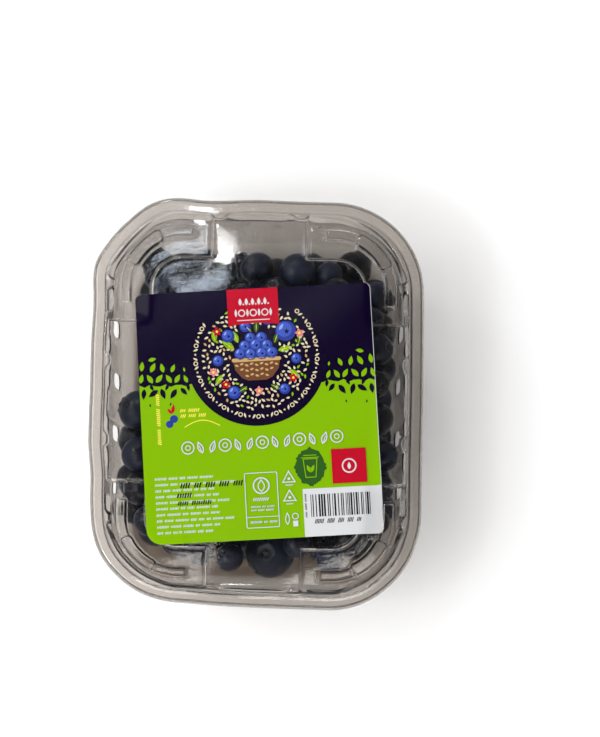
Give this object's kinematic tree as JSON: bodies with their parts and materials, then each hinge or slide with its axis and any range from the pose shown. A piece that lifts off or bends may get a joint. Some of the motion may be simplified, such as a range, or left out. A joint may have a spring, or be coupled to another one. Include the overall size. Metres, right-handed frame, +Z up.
{
  "type": "punnet of blueberries",
  "caption": "Clear plastic punnet of blueberries, shut by a clip-on clear lid with recessed corners and a square printed label on top.",
  "frame": {"origin": "middle of the base, on the surface that the punnet stands on", "axes": "+Y along the long side, +Z up out of the lid, +X to the right seen from above"},
  "size_m": [0.118, 0.1456, 0.042],
  "materials": {
    "tray": "clear formed sheet, glossy",
    "berries": "dark blue skin with a dusty bloom",
    "lid": "clear formed sheet, glossy",
    "label": "glossy printed label, dark blue above and bright green below"
  },
  "bodies": {
    "root": {"tray": "tray", "berries": "berries", "lid": "lid", "label": "label"}
  },
  "joints": []
}
